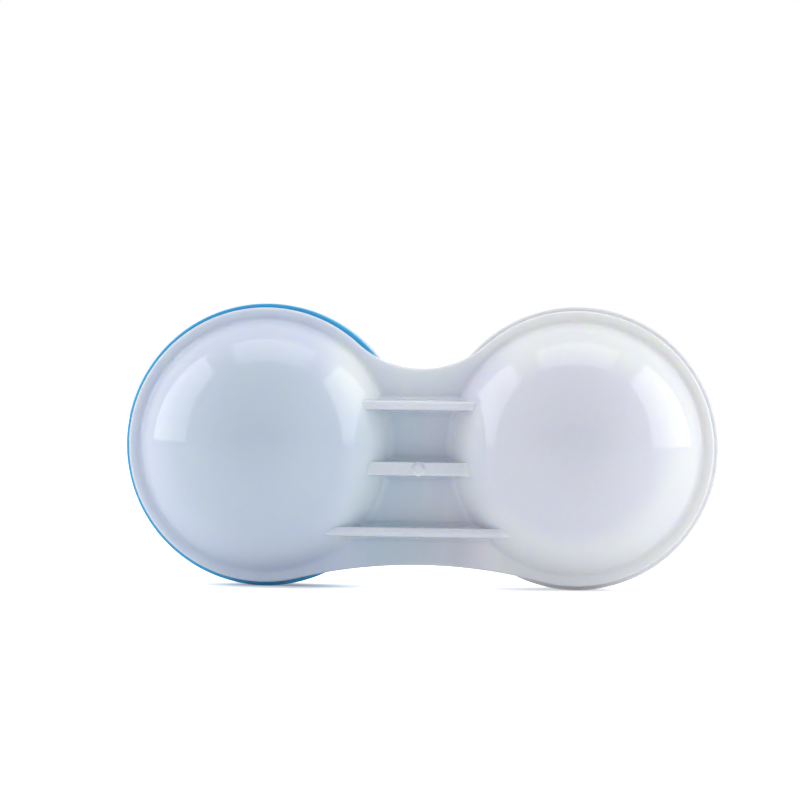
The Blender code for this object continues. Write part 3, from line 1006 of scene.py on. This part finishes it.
def studio_world():
    """White to the camera. In reflections and as light it is dimmer, above all from the front."""
    world = bpy.data.worlds.new("studio")
    bpy.context.scene.world = world
    world.use_nodes = True
    tree = world.node_tree
    background = tree.nodes["Background"]
    start = tree.nodes.new("ShaderNodeTexCoord")
    direction = Value(tree, start.outputs["Generated"])
    seen, reflected, lighting = ray_kinds(tree)
    tint = seen.mix(LIGHT_TINT, WHITE)
    tree.links.new(tint.socket, background.inputs["Color"])
    behind = direction.part(1).ease(*BEHIND_ZONE)
    beside = direction.unsigned().part(0).ease(*BESIDE_ZONE) * (1 - behind)
    mirrored = MIRRORED_FRONT + MIRRORED_BESIDE * beside + MIRRORED_BEHIND * behind
    lit = LIT_FRONT + LIT_BESIDE * beside + LIT_BEHIND * behind
    strength = seen + mirrored * reflected + lit * lighting
    tree.links.new(strength.socket, background.inputs["Strength"])


def softbox(name, place, aim, size, power):
    """A rectangular lamp that the camera doesn't see."""
    lamp = bpy.data.lights.new(name, "AREA")
    lamp.shape = "RECTANGLE"
    lamp.size = size[0]
    lamp.size_y = size[1]
    lamp.energy = power
    made = bpy.data.objects.new(name, lamp)
    bpy.context.collection.objects.link(made)
    made.location = place
    made.rotation_euler = (Vector(aim) - Vector(place)).to_track_quat("-Z", "Y").to_euler()
    made.visible_camera = False


def studio_lamps():
    """A tall softbox on either side of the case, and a small one over it."""
    low = AXIS_HEIGHT + SOFTBOX_LOW * SOFTBOX_DISTANCE
    high = AXIS_HEIGHT + SOFTBOX_HIGH * SOFTBOX_DISTANCE
    middle = (low + high) / 2
    for name, side, front, power in SIDE_SOFTBOXES:
        size = ((front + SOFTBOX_BACK) * SOFTBOX_DISTANCE, high - low)
        along = (SOFTBOX_BACK - front) / 2 * SOFTBOX_DISTANCE
        softbox(name, (side * SOFTBOX_DISTANCE, along, middle), (0, along, middle), size, power)
    top = (0, TOP_SOFTBOX_FORWARD, SOFTBOX_DISTANCE)
    softbox("top_softbox", top, (0, TOP_SOFTBOX_FORWARD, 0), TOP_SOFTBOX_SIZE, TOP_SOFTBOX_POWER)


def camera():
    """The camera of the photograph, rolled about its own view."""
    lens = bpy.data.cameras.new("camera")
    lens.lens = CAMERA_LENS
    made = bpy.data.objects.new("camera", lens)
    bpy.context.collection.objects.link(made)
    flat = math.cos(CAMERA_ELEVATION)
    back = Vector((
        math.sin(CAMERA_AZIMUTH) * flat,
        -math.cos(CAMERA_AZIMUTH) * flat,
        math.sin(CAMERA_ELEVATION),
    ))
    made.location = CAMERA_AIM + back * CAMERA_DISTANCE
    turn = (-back).to_track_quat("-Z", "Y") @ Quaternion((0, 0, 1), CAMERA_ROLL)
    made.rotation_euler = turn.to_euler()
    bpy.context.scene.camera = made


# The case and its studio

def place_piece(made, finish, node, body):
    """Gives a piece its finish, and puts it in the place of a CAD node on a body."""
    made.data.materials.clear()
    made.data.materials.append(finish)
    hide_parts(node)
    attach(made, body)


def build_case():
    place_piece(base_moulding(), milky_plastic(), "base", "base")
    blue = solid_plastic(
        "blue_plastic", BLUE_TONE, BLUE_DEEP_TONE, BLUE_ROUGHNESS, BLUE_MILK_SHARE,
    )
    white = solid_plastic(
        "white_plastic", WHITE_TONE, WHITE_DEEP_TONE, WHITE_ROUGHNESS, WHITE_MILK_SHARE,
    )
    liner = silicone()
    cap_finishes = {"left": (blue, "blue_cap"), "right": (white, "white_cap")}
    for side, x in SIDES:
        finish, slot = cap_finishes[side]
        place_piece(screw_cap(side, x), finish, f"{side}_cap", f"{side}_cap")
        place_piece(seal_disc(side, x), liner, f"{side}_cap_seal", f"{side}_seal")


build_case()
studio_floor()
studio_world()
studio_lamps()
camera()
bpy.context.scene.view_settings.view_transform = "Standard"
